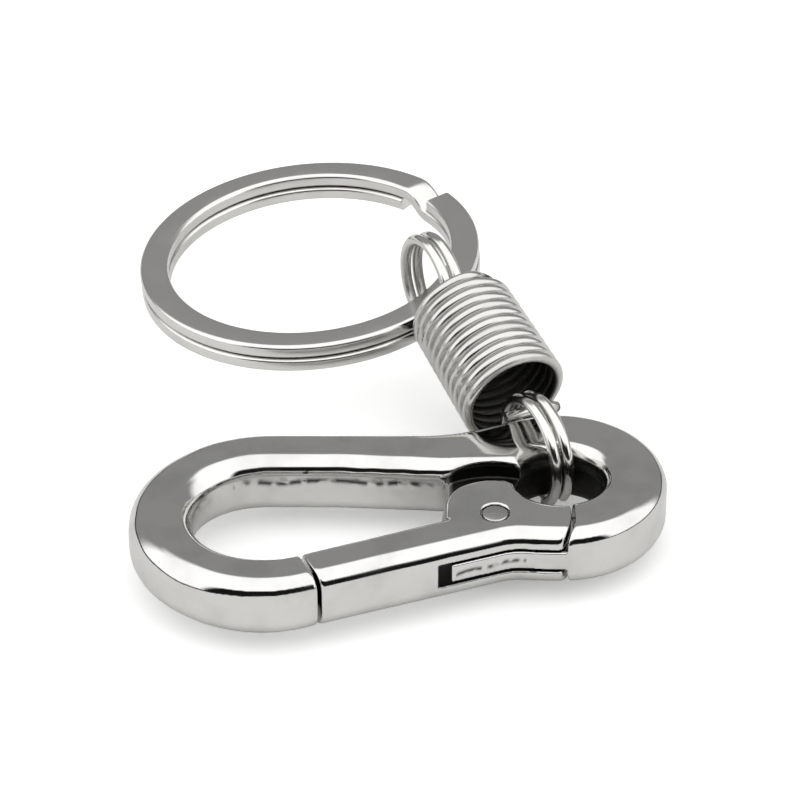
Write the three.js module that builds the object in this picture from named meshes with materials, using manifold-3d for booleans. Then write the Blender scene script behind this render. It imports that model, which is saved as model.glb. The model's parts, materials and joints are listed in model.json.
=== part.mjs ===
// Carabiner keyring: a cast snap carabiner, two small split rings, a close-wound coil
// spring between them and a flat split key ring. Millimetres, +Z up, the carabiner flat.
// While it is built, X and Y are measured from the centre of the carabiner's nose arc and Z
// from its underside; the finished group is then moved so the origin is at the middle of the
// bottom of its bounding box.
import * as THREE from "three";
import { mergeVertices } from "three/addons/utils/BufferGeometryUtils.js";
import Module from "manifold-3d";

const wasm = await Module();
wasm.setup();

// Carabiner body
const THICK = 5.36; // height of the casting
const EDGE_R = 1.5; // rounding along every cast edge
const PLAN_STEPS = 15; // points along each arc of the plan
const NOSE_R = 10.8; // outside of the round nose
const NOSE_IN_R = 6.15; // inside of the nose
const NOSE_IN = [0.5, -0.1]; // centre of the inside arc
const GATE_SLOPE = (20.9 * Math.PI) / 180; // outer line of the gate against the spine
const GATE_IN_SLOPE = (21.8 * Math.PI) / 180; // its inner line
const SPINE_IN_Y = 6.05; // inner face of the spine near the nose
const SPINE_IN_END = [14.6, 5.5]; // and where it thickens near the head
const HEAD = [24.36, 4.88]; // centre of the round head
const HEAD_R = 8.87;
const HEAD_FRONT_Y = -3.99; // front of the head
const WAIST_X = 20.4; // shallow corner between gate line and head
const EYE = [24.45, 4.55]; // hole for the split ring
const EYE_R = 3.6;
const EYE_EDGE_R = 1.2; // rounding of its two mouths
const CHANNEL_END_X = 20.3; // end of the hollow between the spine and the gate's ears
const WEB_LOW = 1.83; // underside of the tongue the gate straddles
const WEB_HIGH = 3.53;
const WEB_LEFT_X = 15.4; // free end of the tongue
const POCKET_R = 7.3; // the ears swing in this pocket, cut into the spine's shoulder
const POCKET_FROM = (62 * Math.PI) / 180;
const POCKET_TO = (150 * Math.PI) / 180;

// Gate
const PIVOT = [18.98, -0.84];
const GATE_REACH = 16.4; // pivot to the tip that meets the nose
const EAR_R = 4.55; // round back of the two ears
const TAIL_R = 6.2; // the ears end on this arc in front of the eye
const SLOT_X = 14.4; // closed end of the slot between the ears
const SLIT = 0.3; // gap round the gate
const SLOT_LOW = WEB_LOW - 0.25;
const SLOT_HIGH = WEB_HIGH + 0.25;

// Pivot pin and the gate's return spring
const PIN_R = 0.75;
const PIN_HEAD_R = 1.05;
const PIN_HEAD_H = 0.7;
const PIN_PLAY = 0.15;
const BORE_R = 1.05; // bore in the gate arm for the return spring
const BORE_DEPTH = 4.6;
const BORE_Y = -2.9; // where the bore opens in the end wall of the slot
const RETURN_WIRE = 0.32;
const RETURN_R = 0.78; // mean radius of the return spring
const RETURN_TURNS = 5;
const RETURN_LENGTH = 3.7;

// Small split rings
const RING_WIRE = 1.0;
const FRONT_RING_R = 4.5; // mean radius
const REAR_RING_R = 4.2;
const RING_STEP = 1.12; // from one turn to the next
const RING_CUT = 0.5; // radians left open beside the step, at each end of the wire
const RING_STEP_HALF = 0.42; // radians from the middle of the step to either end of it
const RING_AXIS_ANGLE = (26.5 * Math.PI) / 180; // plan direction of both rings' axes
const FRONT_OPEN = (-115 * Math.PI) / 180; // the wire's ends, as a rise above level
const REAR_OPEN = (-138 * Math.PI) / 180;
const FRONT_RING = [22.72, 10.62, 3.4]; // centre of the ring in the eye

// Coil spring
const COIL_WIRE = 0.9;
const COIL_R = 4.38; // mean radius of the turn nearest the carabiner
const COIL_TAPER = 0.25; // how much smaller the last turn is
const COIL_PITCH = 0.95;
const COIL_TURNS = 12;
const COIL_ASIDE = 0.25; // the tube hangs this far along its bars
const BAR_END = -1.7; // cut end of the cross bar
const BAR_AHEAD = 1.45; // the cross bar stands this far in front of the last turn
const FRONT_PULL = (33 * Math.PI) / 180; // rise of the front ring's pull above level
const BAR_PLAY = 0.12;
const COIL_DIR = new THREE.Vector3(-0.412, 0.884, 0.215).normalize();

// Key ring
const KEY_OUT_R = 15;
const KEY_BAND = 2.5; // width of the strip
const KEY_LAYER = 1.25; // thickness of one turn
const KEY_GAP = 0.12; // between the turns
const KEY_STEP_AT = (42 * Math.PI) / 180; // direction of the step between the turns
const KEY_STEP_HALF = (6 * Math.PI) / 180;
const KEY_TILT = (-4.6 * Math.PI) / 180;
const REAR_PULL = (-8 * Math.PI) / 180; // fall of the rear ring's pull below level
const KEY_HANG = 1.8; // middle of the strip below the middle of the rear ring
const KEY_HOOK_R = 13.2; // the rear ring's middle stands on this radius of the key ring
const KEY_HOOK_AT = (-34.9 * Math.PI) / 180; // and in this direction

const COLOURS = {
  chrome: { color: 0xc9cac8, metalness: 1, roughness: 0.16 },
  nickel: { color: 0xd2d0ca, metalness: 1, roughness: 0.22 },
  satin: { color: 0xb9b8b3, metalness: 1, roughness: 0.34 },
  steel: { color: 0x9a9a98, metalness: 1, roughness: 0.4 },
};

// ---- solids ----------------------------------------------------------------------------

function toSolid(geometry) {
  const g = geometry.clone();
  g.deleteAttribute("normal");
  g.deleteAttribute("uv");
  const merged = mergeVertices(g, 1e-4);
  return new wasm.Manifold(
    new wasm.Mesh({
      numProp: 3,
      vertProperties: new Float32Array(merged.attributes.position.array),
      triVerts: new Uint32Array(merged.index.array),
    }),
  );
}

function toGeometry(solid) {
  const mesh = solid.getMesh();
  const g = new THREE.BufferGeometry();
  g.setAttribute("position", new THREE.BufferAttribute(mesh.vertProperties, 3));
  g.setIndex(new THREE.BufferAttribute(mesh.triVerts, 1));
  return g;
}

function prism(shape, low, high, segments = 24) {
  const g = new THREE.ExtrudeGeometry(shape, {
    depth: high - low,
    bevelEnabled: false,
    curveSegments: segments,
  });
  return toSolid(g.translate(0, 0, low));
}

// The points of a path without the doubled ones where its arcs and lines meet.
function spaced(points) {
  const kept = points.filter((p, i) => p.distanceTo(points[(i + 1) % points.length]) > 0.01);
  return kept.map((p) => [p.x, p.y]);
}

// A plate with every edge rounded; the outline is the one at mid height.
function roundedPlate(shape) {
  const found = shape.extractPoints(PLAN_STEPS);
  const plan = polygon(spaced(found.shape));
  plan.holes = found.holes.map((hole) => polygon(spaced(hole)));
  const g = new THREE.ExtrudeGeometry(plan, {
    depth: THICK - 2 * EDGE_R,
    bevelEnabled: true,
    bevelThickness: EDGE_R,
    bevelSize: EDGE_R,
    bevelOffset: -EDGE_R,
    bevelSegments: 3,
  });
  return toSolid(g.translate(0, 0, EDGE_R));
}

function disc([x, y], r, low, high, sides = 28) {
  const g = new THREE.CylinderGeometry(r, r, high - low, sides);
  g.rotateX(Math.PI / 2);
  return toSolid(g.translate(x, y, (low + high) / 2));
}

function polygon(points) {
  return new THREE.Shape(points.map(([x, y]) => new THREE.Vector2(x, y)));
}

// ---- carabiner -------------------------------------------------------------------------

const along = (angle) => [Math.cos(angle), Math.sin(angle)];

// Outside of the closed carabiner, counter-clockwise from the waist.
function outline() {
  const s = new THREE.Shape();
  const [ux, uy] = along(GATE_SLOPE);
  const tangent = [NOSE_R * uy, -NOSE_R * ux];
  const waistY = tangent[1] + ((WAIST_X - tangent[0]) * uy) / ux;
  s.moveTo(WAIST_X - 0.9 * ux, waistY - 0.9 * uy);
  s.quadraticCurveTo(WAIST_X, waistY, WAIST_X + 0.9, waistY - 0.05);
  s.quadraticCurveTo(HEAD[0] - 1.6, HEAD_FRONT_Y, HEAD[0], HEAD_FRONT_Y);
  s.absarc(HEAD[0], HEAD[1], HEAD_R, -Math.PI / 2, (116 * Math.PI) / 180, false);
  s.bezierCurveTo(HEAD[0] - 6.4, HEAD[1] + 6.75, 15.4, NOSE_R, 13.2, NOSE_R);
  s.lineTo(0, NOSE_R);
  s.absarc(0, 0, NOSE_R, Math.PI / 2, 1.5 * Math.PI + GATE_SLOPE, false);
  s.closePath();
  return s;
}

// What the eye removes: a bore whose two mouths open out in a quarter round.
function eyeCutter() {
  const profile = [new THREE.Vector2(0, -1), new THREE.Vector2(EYE_R + EYE_EDGE_R, -1)];
  const steps = 4;
  const flare = (i) => {
    const a = ((i / steps) * Math.PI) / 2;
    return [EYE_R + EYE_EDGE_R * (1 - Math.sin(a)), EYE_EDGE_R * (1 - Math.cos(a))];
  };
  for (let i = 0; i <= steps; i += 1) profile.push(new THREE.Vector2(...flare(i)));
  for (let i = steps; i >= 0; i -= 1) {
    const [r, z] = flare(i);
    profile.push(new THREE.Vector2(r, THICK - z));
  }
  profile.push(new THREE.Vector2(EYE_R + EYE_EDGE_R, THICK + 1), new THREE.Vector2(0, THICK + 1));
  const g = new THREE.LatheGeometry(profile, 40).rotateX(Math.PI / 2);
  return toSolid(g.translate(EYE[0], EYE[1], 0));
}

// Inside of the loop; right is its last corner on the spine and under it on the gate.
function loop(right) {
  const p = new THREE.Path();
  const [ux, uy] = along(GATE_IN_SLOPE);
  const start = [NOSE_IN[0] + NOSE_IN_R * uy, NOSE_IN[1] - NOSE_IN_R * ux];
  p.moveTo(NOSE_IN[0], SPINE_IN_Y);
  p.lineTo(6, SPINE_IN_Y);
  p.lineTo(SPINE_IN_END[0], SPINE_IN_END[1]);
  for (const [x, y] of right) p.lineTo(x, y);
  const endX = right[right.length - 1][0];
  p.lineTo(endX, start[1] + ((endX - start[0]) * uy) / ux);
  p.lineTo(start[0], start[1]);
  p.absarc(NOSE_IN[0], NOSE_IN[1], NOSE_IN_R, -Math.PI / 2 + GATE_IN_SLOPE, Math.PI / 2, true);
  p.closePath();
  return p;
}

function sector([x, y], r, from, to) {
  const s = new THREE.Shape();
  s.moveTo(x, y);
  s.lineTo(x + r * Math.cos(from), y + r * Math.sin(from));
  s.absarc(x, y, r, from, to, false);
  s.lineTo(x, y);
  return s;
}

// Everything the gate takes up, in plan; grow widens it by the gap round the gate.
function gatePrism(grow) {
  const tip = (170 * Math.PI) / 180;
  const heel = (235 * Math.PI) / 180;
  const overlap = 0.3;
  const arm = sector(PIVOT, GATE_REACH + grow, tip, heel);
  const tail = sector(PIVOT, TAIL_R + grow, heel - overlap - 2 * Math.PI, 0.42);
  const lowest = -2 * grow - 1;
  const highest = THICK + 2 * grow + 1;
  return prism(arm, lowest, highest, 40)
    .add(disc(PIVOT, EAR_R + grow, lowest, highest, 44))
    .add(prism(tail, lowest, highest, 30));
}

function bodySolid() {
  const plan = outline();
  plan.holes = [loop([[CHANNEL_END_X, 5.7], [CHANNEL_END_X, 2.2], [WEB_LEFT_X, 1.2]])];
  const pocket = prism(sector(PIVOT, POCKET_R, POCKET_FROM, POCKET_TO), -1, THICK + 1, 30);
  const frame = roundedPlate(plan)
    .subtract(gatePrism(SLIT))
    .subtract(pocket)
    .subtract(eyeCutter());
  const wanted = polygon([[WEB_LEFT_X, -9], [27, -9], [27, 3], [22.5, 7], [WEB_LEFT_X, 7]]);
  const web = prism(polygon(spaced(outline().getPoints(PLAN_STEPS))), WEB_LOW, WEB_HIGH);
  const tongue = web.intersect(prism(wanted, 0, THICK)).subtract(eyeCutter());
  return frame.add(tongue).subtract(disc(PIVOT, PIN_R + PIN_PLAY, -1, THICK + 1));
}

function boreAxis() {
  return new THREE.Vector3(-Math.cos(GATE_SLOPE), -Math.sin(GATE_SLOPE), 0);
}

function gateSolid() {
  const plan = outline();
  plan.holes = [loop([[14.7, 3.2]])];
  const slot = polygon([[SLOT_X, -9], [30, -9], [30, 9], [SLOT_X, 9]]);
  const bore = new THREE.CylinderGeometry(BORE_R, BORE_R, BORE_DEPTH + 1, 24);
  bore.applyQuaternion(new THREE.Quaternion().setFromUnitVectors(new THREE.Vector3(0, 1, 0), boreAxis()));
  const middle = boreAxis().multiplyScalar((BORE_DEPTH - 1) / 2);
  bore.translate(SLOT_X + middle.x, BORE_Y + middle.y, THICK / 2);
  return roundedPlate(plan)
    .intersect(gatePrism(0))
    .subtract(eyeCutter())
    .subtract(prism(slot, SLOT_LOW, SLOT_HIGH))
    .subtract(toSolid(bore))
    .subtract(disc(PIVOT, PIN_R + PIN_PLAY, -1, THICK + 1))
    .subtract(disc(PIVOT, PIN_HEAD_R + PIN_PLAY, THICK - PIN_HEAD_H - 0.15, THICK + 1))
    .subtract(disc(PIVOT, PIN_HEAD_R + PIN_PLAY, -1, PIN_HEAD_H + 0.15));
}

function pinSolid() {
  const low = 0.06;
  const high = THICK - 0.06;
  const half = [
    [0, low],
    [PIN_HEAD_R - 0.2, low],
    [PIN_HEAD_R, low + 0.15],
    [PIN_HEAD_R, low + PIN_HEAD_H],
    [PIN_R, low + PIN_HEAD_H],
    [PIN_R, high - PIN_HEAD_H],
    [PIN_HEAD_R, high - PIN_HEAD_H],
    [PIN_HEAD_R, high - 0.15],
    [PIN_HEAD_R - 0.2, high],
    [0, high],
  ].map(([r, y]) => new THREE.Vector2(r, y));
  return new THREE.LatheGeometry(half, 28).rotateX(Math.PI / 2).translate(PIVOT[0], PIVOT[1], 0);
}

// ---- wire ------------------------------------------------------------------------------

// A round wire along a curve, closed at both ends.
function wire(curve, radius, steps, sides) {
  const section = new THREE.Shape();
  section.absarc(0, 0, radius, 0, 2 * Math.PI, false);
  return new THREE.ExtrudeGeometry(section, {
    steps,
    extrudePath: curve,
    curveSegments: sides / 2,
    bevelEnabled: false,
  });
}

class Helix extends THREE.Curve {
  constructor(radius, pitch, turns) {
    super();
    Object.assign(this, { radius, pitch, turns });
  }
  getPoint(t, target = new THREE.Vector3()) {
    const a = 2 * Math.PI * this.turns * t;
    const lift = this.pitch * this.turns * t;
    return target.set(this.radius * Math.cos(a), this.radius * Math.sin(a), lift);
  }
}

function returnSpring() {
  const pitch = RETURN_LENGTH / RETURN_TURNS;
  const g = wire(new Helix(RETURN_R, pitch, RETURN_TURNS), RETURN_WIRE / 2, 60, 6);
  g.applyQuaternion(new THREE.Quaternion().setFromUnitVectors(new THREE.Vector3(0, 0, 1), boreAxis()));
  const start = boreAxis().multiplyScalar(0.3);
  return g.translate(SLOT_X + start.x, BORE_Y + start.y, THICK / 2);
}

// Height of a two-turn ring's strip at an angle: the first turn low, the second high, with a
// smooth step between them half way along.
function turnHeight(angle, stepHalf, rise) {
  const u = THREE.MathUtils.smootherstep(angle, 2 * Math.PI - stepHalf, 2 * Math.PI + stepHalf);
  return rise * (u - 0.5);
}

// Bends a straight bar lying along Z into the two turns of a split ring.
function bendToRing(bar, length, radius, cut, stepHalf, rise) {
  const p = bar.attributes.position;
  for (let i = 0; i < p.count; i += 1) {
    const angle = cut + (p.getZ(i) / length) * (4 * Math.PI - 2 * cut);
    const r = radius + p.getX(i);
    const z = p.getY(i) + turnHeight(angle, stepHalf, rise);
    p.setXYZ(i, r * Math.cos(angle), r * Math.sin(angle), z);
  }
  return bar;
}

// The bend turns a right-handed bar left-handed, so its faces are turned back.
function outward(geometry) {
  const g = geometry.index ? geometry.toNonIndexed() : geometry;
  const p = g.attributes.position;
  for (let i = 0; i < p.count; i += 3) {
    const b = [p.getX(i + 1), p.getY(i + 1), p.getZ(i + 1)];
    p.setXYZ(i + 1, p.getX(i + 2), p.getY(i + 2), p.getZ(i + 2));
    p.setXYZ(i + 2, b[0], b[1], b[2]);
  }
  return g;
}

function smallRing(radius) {
  const section = new THREE.Shape();
  section.absarc(0, 0, RING_WIRE / 2, 0, 2 * Math.PI, false);
  const length = 10;
  const bar = new THREE.ExtrudeGeometry(section, {
    depth: length,
    steps: 64,
    curveSegments: 4,
    bevelEnabled: false,
  });
  return outward(bendToRing(bar, length, radius, RING_CUT, RING_STEP_HALF, RING_STEP));
}

function keyRing() {
  const w = KEY_BAND / 2;
  const h = KEY_LAYER / 2;
  const c = 0.22;
  const section = polygon([
    [-w + c, -h], [w - c, -h], [w, -h + c], [w, h - c],
    [w - c, h], [-w + c, h], [-w, h - c], [-w, -h + c],
  ]);
  const length = 10;
  const bar = new THREE.ExtrudeGeometry(section, { depth: length, steps: 108, bevelEnabled: false });
  const cut = KEY_STEP_HALF + 0.035;
  const ring = bendToRing(bar, length, KEY_OUT_R - w, cut, KEY_STEP_HALF, KEY_LAYER + KEY_GAP);
  return outward(ring);
}

// Close-wound tube about Z from its first turn at 0, with a bar across each mouth.
class CoilWithBars extends THREE.Curve {
  constructor() {
    super();
    const points = [];
    const turns = COIL_TURNS;
    const length = COIL_PITCH * turns;
    for (const x of [BAR_END, -0.6, 0.5, 1.6]) points.push([x, 0, -BAR_AHEAD]);
    points.push([2.75, 0.25, -BAR_AHEAD * 0.93], [3.62, 1.1, -BAR_AHEAD * 0.62]);
    const lead = 0.42 * Math.PI;
    const steps = Math.round(turns * 20);
    for (let i = 0; i <= steps; i += 1) {
      const a = lead + ((turns * 2 * Math.PI - 2 * lead) * i) / steps;
      const r = COIL_R - (COIL_TAPER * i) / steps;
      points.push([r * Math.cos(a), r * Math.sin(a), (COIL_PITCH * a) / (2 * Math.PI)]);
    }
    const end = turns * 2 * Math.PI;
    const turned = (x, y, z) => {
      const [cx, sx] = along(end);
      return [x * cx + y * sx, x * sx - y * cx, length + z];
    };
    points.push(turned(3.62, 1.1, BAR_AHEAD * 0.62), turned(2.75, 0.25, BAR_AHEAD * 0.93));
    for (const x of [1.6, 0.5, -0.6, BAR_END]) points.push(turned(x, 0, BAR_AHEAD));
    const vectors = points.map(([x, y, z]) => new THREE.Vector3(x, y, z));
    this.path = new THREE.CatmullRomCurve3(vectors, false, "centripetal");
    this.path.arcLengthDivisions = 4000;
  }
  getPoint(t, target = new THREE.Vector3()) {
    return this.path.getPoint(t, target);
  }
}

function coilSpring() {
  const curve = new CoilWithBars();
  curve.arcLengthDivisions = 4000;
  return wire(curve, COIL_WIRE / 2, 290, 8);
}

// ---- placing the chain -----------------------------------------------------------------

const ringAxis = new THREE.Vector3(Math.cos(RING_AXIS_ANGLE), Math.sin(RING_AXIS_ANGLE), 0);
const away = new THREE.Vector3(-Math.sin(RING_AXIS_ANGLE), Math.cos(RING_AXIS_ANGLE), 0);
const up = new THREE.Vector3(0, 0, 1);

function frameMatrix(x, z, origin) {
  const y = new THREE.Vector3().crossVectors(z, x).normalize();
  return new THREE.Matrix4().makeBasis(x, y, z).setPosition(origin);
}

// A level direction turned up by an angle.
function raised(direction, rise) {
  return direction.clone().multiplyScalar(Math.cos(rise)).addScaledVector(up, Math.sin(rise));
}

// The wire's two ends and its step face the given direction.
function ringMatrix(centre, axis, open) {
  const x = open.clone().addScaledVector(axis, -open.dot(axis)).normalize();
  return frameMatrix(x, axis, centre);
}

const hookArm = (radius) => radius - RING_WIRE / 2 - COIL_WIRE / 2 - BAR_PLAY;
const frontCentre = new THREE.Vector3(...FRONT_RING);
const frontBar = frontCentre.clone().addScaledVector(raised(away, FRONT_PULL), hookArm(FRONT_RING_R));
const coilStart = frontBar.clone().addScaledVector(COIL_DIR, BAR_AHEAD);
const coilEnd = coilStart.clone().addScaledVector(COIL_DIR, COIL_PITCH * COIL_TURNS);
const rearBar = coilEnd.clone().addScaledVector(COIL_DIR, BAR_AHEAD);
const rearCentre = rearBar.clone().addScaledVector(raised(away, REAR_PULL), hookArm(REAR_RING_R));
const coilX = ringAxis.clone().addScaledVector(COIL_DIR, -ringAxis.dot(COIL_DIR)).normalize();

const hook = rearCentre.clone().addScaledVector(up, -KEY_HANG);
const tilt = new THREE.Matrix4().makeRotationY(KEY_TILT);
const toHook = new THREE.Vector3(Math.cos(KEY_HOOK_AT), Math.sin(KEY_HOOK_AT), 0);
const keyCentre = hook.clone().sub(toHook.multiplyScalar(KEY_HOOK_R).applyMatrix4(tilt));

// ---- assembly --------------------------------------------------------------------------

const group = new THREE.Group();
group.name = "carabiner_keyring";

function add(name, geometry, look) {
  const mesh = new THREE.Mesh(geometry, new THREE.MeshStandardMaterial(COLOURS[look]));
  mesh.name = name;
  group.add(mesh);
  return mesh;
}

add("carabiner_body", toGeometry(bodySolid()), "chrome");
add("gate", toGeometry(gateSolid()), "chrome");
add("gate_pivot_pin", pinSolid(), "chrome");
add("gate_return_spring", returnSpring(), "steel");
const front = smallRing(FRONT_RING_R);
front.applyMatrix4(ringMatrix(frontCentre, ringAxis, raised(away, FRONT_OPEN)));
add("front_split_ring", front, "nickel");
const coilPlace = coilStart.clone().addScaledVector(coilX, COIL_ASIDE);
add("coil_spring", coilSpring().applyMatrix4(frameMatrix(coilX, COIL_DIR, coilPlace)), "nickel");
const rear = smallRing(REAR_RING_R);
rear.applyMatrix4(ringMatrix(rearCentre, ringAxis, raised(away, REAR_OPEN)));
add("rear_split_ring", rear, "nickel");
const key = keyRing().rotateZ(KEY_STEP_AT).applyMatrix4(tilt);
add("key_ring", key.translate(keyCentre.x, keyCentre.y, keyCentre.z), "satin");

const box = new THREE.Box3().setFromObject(group);
const shift = new THREE.Vector3();
box.getCenter(shift);
shift.z = box.min.z;
for (const mesh of group.children) mesh.geometry.translate(-shift.x, -shift.y, -shift.z);

export default group;
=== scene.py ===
# A carabiner keyring: a cast and plated snap carabiner, two small split rings, a close-wound
# coil spring between them and a flat split key ring. It lies on a pale floor in a light tent.
import json
import math

import bpy
import numpy as np
from mathutils import Matrix, Vector


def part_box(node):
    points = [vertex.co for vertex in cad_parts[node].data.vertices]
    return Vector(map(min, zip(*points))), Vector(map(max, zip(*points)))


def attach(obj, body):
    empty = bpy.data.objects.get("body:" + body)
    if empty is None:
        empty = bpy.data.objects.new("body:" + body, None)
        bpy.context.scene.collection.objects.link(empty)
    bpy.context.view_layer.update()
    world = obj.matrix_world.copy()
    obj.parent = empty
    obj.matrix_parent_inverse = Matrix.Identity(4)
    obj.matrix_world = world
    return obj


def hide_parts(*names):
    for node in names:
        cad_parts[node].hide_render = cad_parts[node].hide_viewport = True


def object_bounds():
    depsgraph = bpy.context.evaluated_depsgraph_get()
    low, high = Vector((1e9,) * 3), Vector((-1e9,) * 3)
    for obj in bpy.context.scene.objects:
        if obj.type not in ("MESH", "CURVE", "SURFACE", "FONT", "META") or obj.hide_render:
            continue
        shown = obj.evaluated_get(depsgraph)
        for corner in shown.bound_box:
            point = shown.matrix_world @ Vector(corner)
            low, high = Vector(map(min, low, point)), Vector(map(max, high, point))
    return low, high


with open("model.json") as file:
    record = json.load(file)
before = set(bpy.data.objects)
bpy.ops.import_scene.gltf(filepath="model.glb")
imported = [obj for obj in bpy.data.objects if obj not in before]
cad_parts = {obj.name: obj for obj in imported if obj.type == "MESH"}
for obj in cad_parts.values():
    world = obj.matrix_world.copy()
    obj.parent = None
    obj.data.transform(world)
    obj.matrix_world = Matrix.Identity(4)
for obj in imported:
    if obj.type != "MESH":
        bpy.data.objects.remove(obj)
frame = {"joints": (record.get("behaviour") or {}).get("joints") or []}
cad_low, cad_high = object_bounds()

MM = 0.001  # sizes of the metal parts are given in millimetres

# ---- Camera ------------------------------------------------------------------------------
# A long lens stands in front of the keyring and looks along +Y and down at it, square to the
# carabiner's spine.
CAMERA_AT = (0.000512, -0.288119, 0.204900)
CAMERA_PITCH = 34.981
CAMERA_LENS = 184.8

camera_data = bpy.data.cameras.new("camera")
camera_data.lens = CAMERA_LENS
camera_data.sensor_width = 36.0
camera_data.clip_start = 0.01
camera = bpy.data.objects.new("camera", camera_data)
camera.location = CAMERA_AT
camera.rotation_euler = (math.radians(90 - CAMERA_PITCH), 0, 0)
bpy.context.scene.collection.objects.link(camera)
bpy.context.scene.camera = camera
bpy.context.scene.view_settings.view_transform = "Standard"


# ---- Light tent --------------------------------------------------------------------------
# White cloth all round and above, a grey back wall that the flat faces mirror, a dark opening
# at the front and the dark hem where the cloth meets the floor.
def new_node(tree, kind, **settings):
    node = tree.nodes.new(kind)
    for name, value in settings.items():
        setattr(node, name, value)
    return node


def math_node(tree, operation, a, b=None):
    node = new_node(tree, "ShaderNodeMath", operation=operation)
    for socket, value in zip(node.inputs, (a, b)):
        if isinstance(value, bpy.types.NodeSocket):
            tree.links.new(value, socket)
        elif value is not None:
            socket.default_value = value
    return node.outputs[0]


def ramp_between(tree, value, low, high):
    node = new_node(tree, "ShaderNodeMapRange", interpolation_type="SMOOTHSTEP")
    tree.links.new(value, node.inputs["Value"])
    node.inputs["From Min"].default_value = low
    node.inputs["From Max"].default_value = high
    return node.outputs["Result"]


def mix_values(tree, factor, a, b):
    node = new_node(tree, "ShaderNodeMix", data_type="FLOAT")
    tree.links.new(factor, node.inputs["Factor"])
    for socket, value in ((node.inputs["A"], a), (node.inputs["B"], b)):
        if isinstance(value, bpy.types.NodeSocket):
            tree.links.new(value, socket)
        else:
            socket.default_value = value
    return node.outputs["Result"]


CLOTH = 1.75
BACK_WALL = 0.40
BACK_WALL_EDGE = (0.30, 0.55)  # how far a direction points to the back where the wall begins
BACK_WALL_TOP = (0.82, 0.71)  # and how steeply it rises where the wall ends
OPENING = 0.012
OPENING_SIDE = (-0.58, -0.72)
OPENING_TOP = (0.58, 0.48)
HEM = 0.05
HEM_EDGE = (0.11, 0.06)
PALE_AROUND = 1.0

world = bpy.data.worlds.new("light_tent")
bpy.context.scene.world = world
world.use_nodes = True
tent = world.node_tree
tent.nodes.clear()
direction = new_node(tent, "ShaderNodeSeparateXYZ")
tent.links.new(new_node(tent, "ShaderNodeTexCoord").outputs["Generated"], direction.inputs[0])
_, to_back, to_top = direction.outputs
is_back = ramp_between(tent, to_back, *BACK_WALL_EDGE)
is_low = ramp_between(tent, to_top, *BACK_WALL_TOP)
level = mix_values(tent, math_node(tent, "MULTIPLY", is_back, is_low), CLOTH, BACK_WALL)
at_front = ramp_between(tent, to_back, *OPENING_SIDE)
near_floor = ramp_between(tent, to_top, *OPENING_TOP)
level = mix_values(tent, math_node(tent, "MULTIPLY", at_front, near_floor), level, OPENING)
height = math_node(tent, "ABSOLUTE", to_top)
level = mix_values(tent, ramp_between(tent, height, *HEM_EDGE), level, HEM)
seen = new_node(tent, "ShaderNodeLightPath").outputs["Is Camera Ray"]
level = mix_values(tent, seen, level, PALE_AROUND)
backdrop = new_node(tent, "ShaderNodeBackground")
tent.links.new(level, backdrop.inputs["Strength"])
tent.links.new(
    backdrop.outputs[0], new_node(tent, "ShaderNodeOutputWorld").inputs["Surface"]
)


# ---- Floor -------------------------------------------------------------------------------
# A wide sheet of matt white paper. The camera sees it lifted to an even white, and the metal
# mirrors it darker: a set value, not one that the tent's light gives.
FLOOR_HALF = 4.0
FLOOR_BELOW = 0.0001
PAPER = (0.93, 0.93, 0.93, 1)
PAPER_MIRRORED = (0.78, 0.78, 0.77, 1)
PAPER_GLOW = 0.30  # glow the camera sees on the sheet, painted light that lifts its shadows toward white

floor_mesh = bpy.data.meshes.new("floor")
floor_mesh.from_pydata(
    [(x * FLOOR_HALF, y * FLOOR_HALF, 0) for x, y in ((-1, -1), (1, -1), (1, 1), (-1, 1))],
    [],
    [(0, 1, 2, 3)],
)
floor = bpy.data.objects.new("floor", floor_mesh)
floor.location.z = cad_low.z - FLOOR_BELOW
bpy.context.scene.collection.objects.link(floor)
paper = bpy.data.materials.new("white_paper")
paper.use_nodes = True
paper_shader = paper.node_tree.nodes["Principled BSDF"]
paper_tint = new_node(paper.node_tree, "ShaderNodeMix", data_type="RGBA")
paper_seen = new_node(paper.node_tree, "ShaderNodeLightPath").outputs["Is Camera Ray"]
paper.node_tree.links.new(paper_seen, paper_tint.inputs["Factor"])
paper_tint.inputs["A"].default_value = PAPER_MIRRORED
paper_tint.inputs["B"].default_value = PAPER
paper.node_tree.links.new(paper_tint.outputs["Result"], paper_shader.inputs["Base Color"])
paper_shader.inputs["Emission Color"].default_value = PAPER
paper.node_tree.links.new(
    math_node(paper.node_tree, "MULTIPLY", paper_seen, PAPER_GLOW),
    paper_shader.inputs["Emission Strength"],
)
paper_shader.inputs["Roughness"].default_value = 0.9
paper_shader.inputs["Specular IOR Level"].default_value = 0.1
floor_mesh.materials.append(paper)

# ---- Carabiner body ----------------------------------------------------------------------
# One zinc casting: a round nose, a straight spine and a round head with an eye. It is tumbled
# and chrome plated, so every edge is soft, and the inner walls keep their casting marks.
THICK = 5.36
EDGE_R = 1.5
NOSE_R = 10.8
NOSE_IN_R = 6.15
NOSE_IN = (0.5, -0.1)
GATE_SLOPE = math.radians(20.9)
GATE_IN_SLOPE = math.radians(21.8)
SPINE_IN_Y = 6.05
SPINE_IN_END = (14.6, 5.5)
HEAD = (24.36, 4.88)
HEAD_R = 8.87
HEAD_FRONT_Y = -3.99
WAIST_X = 20.4
EYE = (24.45, 4.55)
EYE_R = 3.6
EYE_EDGE_R = 1.2
CHANNEL_END_X = 20.3
WEB_LOW = 1.83
WEB_HIGH = 3.53
WEB_MIDDLE = (WEB_LOW + WEB_HIGH) / 2
WEB_LEFT_X = 15.4
PIVOT = (18.98, -0.84)
GATE_REACH = 16.4
EAR_R = 4.55
TAIL_R = 6.2
SLIT = 0.3
POCKET_R = 7.3  # the gate's ears swing in this pocket, cut into the spine's shoulder
POCKET_FROM = 62
POCKET_TO = 150
SLOT_X = 14.4  # closed end of the slot in the gate that takes the web
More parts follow.
